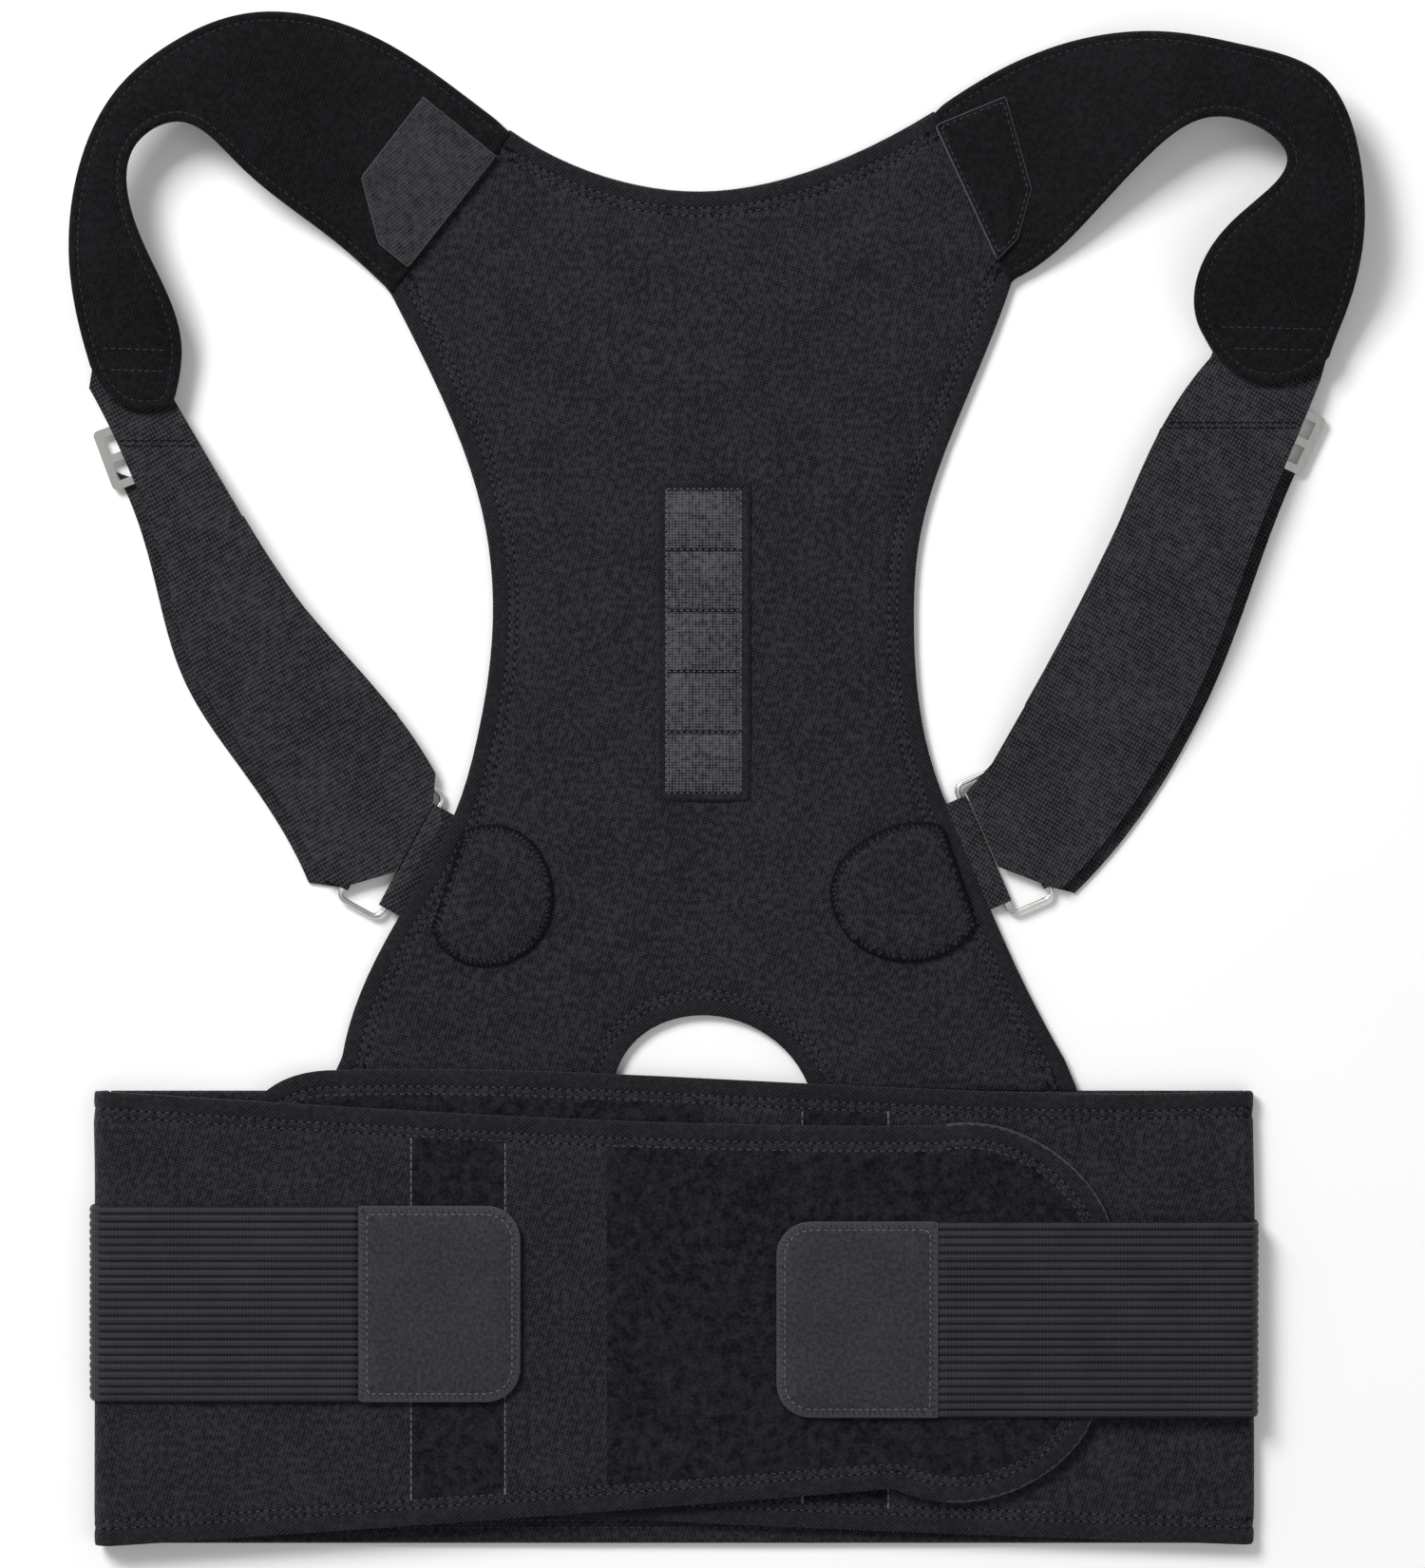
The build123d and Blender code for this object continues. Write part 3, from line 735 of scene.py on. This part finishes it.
def shoulder_pad(side, away, at, out, lift):
    """Curved pad with a stitched edge and two cross seams over its tip."""
    loop = pad_outline(side, at, out)
    low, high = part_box(f"{side}_shoulder_pad")

    def shape(x, y, d):
        return (1.2 * MM * ease((d - PAD_SEAM) / 12) + groove(d, PAD_SEAM, 0.6, 0.8)
                + 0.5 * MM * waves(x, y, 0.035, 5.0) * ease(d / 10))

    pad = soft_plate(f"{side}_pad_soft", loop, low.z, high.z, shape, edge_round=2.0, bend=lift,
                     rings=(0.5, 1.3, 2.4, PAD_SEAM, 4.5, 6.5))
    # The pad takes the darker copy of the neoprene: painted shade.
    paint(pad, (PAD_SHADE_NEOPRENE,), lambda c: CLOTH)
    rows = []
    for rise in BAR_TACKS:
        y = low.y + rise
        start, end = Vector((low.x + 50 * MM, y)), Vector((high.x, y - 2 * MM))
        if away < 0:
            start, end = Vector((low.x, y + 2 * MM)), Vector((low.x + 60 * MM, y))
        rows.append(cross_run(loop, start, end, 6))
    rows += curved_run(loop, PAD_SEAM)
    stitches(pad, [r for r in rows if len(r) > 3], THREAD_AND_TIP_HIGHLIGHT, 2.0, 3.0, 0.45, 0.25)
    blend_at_crease(pad, at, out)
    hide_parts(f"{side}_shoulder_root", f"{side}_shoulder_pad")


def shoulder_patch(side, at, out, lift):
    """Patch over a pad's seam, lapped over the panel and reaching past the crease line."""
    loop = outline(f"{side}_shoulder_patch")
    i = longest_side(loop)
    a, b = loop[i], loop[(i + 1) % len(loop)]
    across = Vector((b.y - a.y, a.x - b.x)).normalized()
    mid = (a + b) / 2
    for p in loop:
        past = (mid - p).dot(across)
        p += across * (PATCH_LAP if past < MM else -PATCH_REACH * ease(past / (24 * MM)))
    # The right patch and its hem take the darker pad neoprene: painted shade.
    mat, hem = (SHOULDER, TAB_EDGE) if side == "left" else (PAD_SHADE_NEOPRENE, PAD_SHADE_NEOPRENE)
    patch = patch_plate(f"{side}_shoulder_patch_soft", f"{side}_shoulder_patch", mat, None,
                        crown=0.2, seam=1.6, hem=hem, loop=loop, raised=1.5, bend=lift)
    blend_at_crease(patch, at, out)


def strap(side):
    """Doubled webbing from the pad to the ring, with its upper run bowed."""
    node = f"{side}_strap_webbing"
    low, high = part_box(node)
    piece = diced(f"{side}_strap_soft", node, 4.0 * MM * COARSE, WEBBING[side])
    ring_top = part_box(f"{side}_ring")[1].y
    between_runs = (low.z + high.z) / 2
    for v in piece.data.vertices:
        t = (v.co.y - ring_top) / (high.y - ring_top)
        if 0 < t < 1 and v.co.z > between_runs:
            v.co.z += STRAP_LIFT * math.sin(math.pi * t) ** 0.8
    loop = outline(node)
    seams = [cross_run(loop, Vector((low.x, high.y - drop)), Vector((high.x, high.y - drop)), 0.8)
             for drop in STRAP_SEAMS]
    # The cross seams are drawn in the darker groove tone: painted shade.
    stitches(piece, [run for run in seams if len(run) > 3], SEAM_SHADE, 2.4, 2.5, 0.9, 0.3)
    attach(piece, f"{side}_loop")
    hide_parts(node)


def ring_tab(side):
    """Webbing that holds the ring, tucked under the panel's edge."""
    node = f"{side}_ring_tab"
    tab = diced(f"{node}_soft", node, 2.0 * MM, WEBBING[side])
    middle = box_middle(node)
    outward = (box_middle(f"{side}_ring") - middle).xy.normalized()
    reach = [(v.co - middle).xy.dot(outward) for v in tab.data.vertices]
    for v, s in zip(tab.data.vertices, reach):
        if s < min(reach) + 0.6 * MM:
            v.co.xy -= outward * TAB_LAP
            v.co.z = min(v.co.z, TAB_TUCK_Z)
    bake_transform(tab)
    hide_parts(node)


def arm_loop(side, away):
    """Pad, seam patch, webbing and ring tab of one loop."""
    at, out, lift = loop_bend(side, away)
    shoulder_pad(side, away, at, out, lift)
    shoulder_patch(side, at, out, lift)
    strap(side)
    ring_tab(side)


arm_loop("left", -1)
arm_loop("right", 1)


# Belt ---------------------------------------------------------------------------------------------
def wrapped(x_fold, side, centre_z, radius, squeeze=1.0):
    """Bend that carries what lies past a crease line round a fold, a circle squeezed towards the line."""
    def move(v):
        past = (v.x - x_fold) * side
        if past <= 0:
            return v
        angle = past / radius
        reach = v.z - centre_z
        x = x_fold + side * reach * math.sin(angle) * squeeze
        return Vector((x, v.y, centre_z + reach * math.cos(angle)))
    return move


def lumbar():
    """Back part of the belt."""
    low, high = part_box("lumbar_panel")
    loop = outline("lumbar_panel")

    def shape(x, y, d):
        return groove(d, 6.6, 0.3) + 0.2 * MM * waves(x, y, 0.05, 3.0)

    piece = soft_plate("lumbar_soft", loop, low.z, high.z, shape)
    paint(piece, (NEOPRENE,), lambda c: CLOTH)
    heights = (high.y - 6 * MM, high.y - 9 * MM, low.y + 6 * MM, low.y + 9 * MM)
    stitches(piece, [[Vector((low.x, y)), Vector((high.x, y))] for y in heights], THREAD_AND_TIP_HIGHLIGHT)
    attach(piece, "back")
    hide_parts("lumbar_panel", "lumbar_bindings")


WING_STRAIGHT = 150       # only a wing's end at its side fold has a straight side longer than this, in mm
FACING_INSET = 9.5        # how far the pile and the channel stay from a wing's edge, in mm
TIP_HIGHLIGHT_REACH = 66 * MM      # how far the painted highlight along the edge runs from the over wing's tip
ELASTIC_CENTRE_Z = 6.3 * MM     # height of the line that the elastics turn about at the belt's sides


def wing(name, side, fold_node, seed):
    """Belt wing with its turn round the side fold, stay channel, loop pile and stitched edges."""
    low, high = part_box(name)
    x_fold = low.x if side < 0 else high.x
    fold_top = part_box(fold_node)[1].z
    radius = fold_top / 2 - (high.z - low.z) / 2
    loop = outline(name)
    i = longest_side(loop)
    around = Vector((side * math.pi * radius * 0.97, 0))
    a, b = loop[i], loop[(i + 1) % len(loop)]
    loop = loop[:i + 1] + [a + around, b + around] + loop[i + 1:]
    pile_low, pile_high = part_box(f"{name}_pile")
    chan_low, chan_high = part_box(f"{name}_channel")
    tree = curved_tree(loop, WING_STRAIGHT)
    tip_side = -side
    pile_start = pile_low.x if tip_side > 0 else pile_high.x     # the pile runs from here to the tip
    highlight_start = high.x - TIP_HIGHLIGHT_REACH

    def in_pile(x, d):
        return (x - pile_start) * tip_side > 0 and d > FACING_INSET

    def shape(x, y, d):
        d = tree.find((x, y, 0))[2] / MM
        h = sum(groove(d, at, 0.5) for at in SEAM_LINES)
        h += 0.6 * MM * waves(x, y, 0.05, seed) * ease(d / 12)
        for edge in (chan_low.x, chan_high.x):
            h -= 0.45 * MM * math.exp(-((x - edge) / (0.9 * MM)) ** 2)
        if in_pile(x, d):
            h += 0.35 * MM + 0.35 * MM * noise.noise(Vector((x, y, seed)) * 420)
        return h

    cuts = [cross_run(loop, Vector((x, low.y)), Vector((x, high.y)), 9.6)
            for x in (chan_low.x, chan_high.x, pile_start)]
    piece = soft_plate(f"{name}_soft", loop, low.z, high.z, shape, 2.0, EDGE_RINGS, 1.4,
                       wrapped(x_fold, side, fold_top / 2, radius), cuts)

    def trim(c, d):
        if in_pile(c.x, d) or (chan_low.x < c.x < chan_high.x and d > FACING_INSET):
            return FACING
        # A thin band along the over wing's tip edge takes the pale thread tone: painted highlight.
        return TIP_HIGHLIGHT if side < 0 and d < 0.75 and c.x > highlight_start else None

    paint(piece, (NEOPRENE, BINDING, SEAM_SHADE, PILE, THREAD_AND_TIP_HIGHLIGHT), seam_choice(tree, (low.z + high.z) / 2, trim))
    stitches(piece, [run for at in SEAM_LINES for run in curved_run(loop, at, WING_STRAIGHT)], THREAD_AND_TIP_HIGHLIGHT)
    for edge in (chan_low.x, chan_high.x):
        stitches(piece, [cross_run(loop, Vector((edge, low.y)), Vector((edge, high.y)), 8.5)], PALE_THREAD,
                 2.9, 3.0, 0.8, 0.35)
    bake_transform(piece)
    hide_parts(name, f"{name}_binding", f"{name}_pile", f"{name}_channel", fold_node)


def slab_faces(rows, width):
    """Faces of a slab whose points are an upper and then an under grid: upper and under faces in turn, and
    then the four walls."""
    n = rows * width
    faces = []
    for j in range(rows - 1):
        for i in range(width - 1):
            k = j * width + i
            faces.append((k, k + 1, k + width + 1, k + width))
            faces.append((k + n, k + n + width, k + n + width + 1, k + n + 1))
    for j in range(rows - 1):
        for k in (j * width, j * width + width - 1):
            faces.append((k, k + width, k + width + n, k + n))
    for i in range(width - 1):
        for k in (i, (rows - 1) * width + i):
            faces.append((k, k + n, k + n + 1, k + 1))
    return faces


def elastic(side_name, side, squeeze):
    """Elastic with ribs along its length, from its tab round the belt's side fold. squeeze flattens the turn
    towards the belt."""
    node = f"{side_name}_elastic"
    low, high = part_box(node)
    x_fold = low.x if side < 0 else high.x
    x_joint = high.x if side < 0 else low.x
    middle = (low.z + high.z) / 2
    radius = middle - ELASTIC_CENTRE_Z
    wrap = 2.0 * radius
    length = abs(x_joint - x_fold) + wrap
    ribs = 25
    per_rib = 6
    columns = int(length / (3.0 * MM * COARSE))
    groove_share = 0.17     # share of a rib's width, each side, that is groove
    rib_height = 0.7 * MM
    rib_sink = 0.45 * MM    # how far the grooves lie below the band's flat top
    move = wrapped(x_fold, side, ELASTIC_CENTRE_Z, radius, squeeze)
    verts = []
    rows = ribs * per_rib + 1
    for face in (1, -1):
        for j in range(rows):
            t = j / (rows - 1)
            rib = abs(math.sin(math.pi * ribs * t)) ** 0.7
            edge = 1 - (1 - RIM_SHARE) * (1 - min(1, 40 * min(t, 1 - t)))
            for i in range(columns + 1):
                x = x_joint + (x_fold + side * wrap - x_joint) * i / columns
                y = low.y + (high.y - low.y) * t
                sag = 0.4 * MM * waves(x, y, 0.04, 9.0)
                z = middle + face * (high.z - low.z) / 2 * edge + sag
                if face > 0:
                    z += rib_height * rib - rib_sink
                verts.append(move(Vector((x, y, z))))
    piece = closed_piece(f"{node}_soft", verts, slab_faces(rows, columns + 1))
    piece.data.materials.append(ELASTIC)
    piece.data.materials.append(RIB_GROOVE_SHADE)
    # Groove faces between the ribs on the upper side take the darker tone: painted shade.
    for f in piece.data.polygons:
        t = (f.center.y - low.y) / (high.y - low.y) * ribs
        ribbed_side = f.index % 2 == 0 and f.center.z > low.z     # faces alternate, upper then under
        f.material_index = int(ribbed_side and min(t % 1, 1 - t % 1) < groove_share)
    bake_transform(piece)
    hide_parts(node)


lumbar()
wing("over_wing", -1, "left_side_fold", 1.0)
wing("under_wing", 1, "right_side_fold", 4.0)
elastic("left", -1, 0.9)
elastic("right", 1, 0.62)
for side in ("left", "right"):
    patch_plate(f"{side}_tab_soft", f"{side}_tab", TAB, f"{side}_tension_strap",
                crown=0.6, seam=3.2, thread=PALE_THREAD, spacing=2.0, hem=TAB_EDGE)


# Finishes of the pieces that keep their CAD shape -------------------------------------------------
def finish_nodes():
    """Put the right material on every CAD node that still shows."""
    finishes = {"_ring": NICKEL, "_slider": NICKEL, "_slider_bar": NICKEL, "magnets": NICKEL, "_hook": PILE,
                "_stay": TAB, "_stays": TAB, "_anchor_webbing": WEBBING["left"]}
    for name, node in NODES.items():
        for ending, mat in finishes.items():
            if name.endswith(ending):
                node.data.materials.clear()
                node.data.materials.append(mat)


finish_nodes()
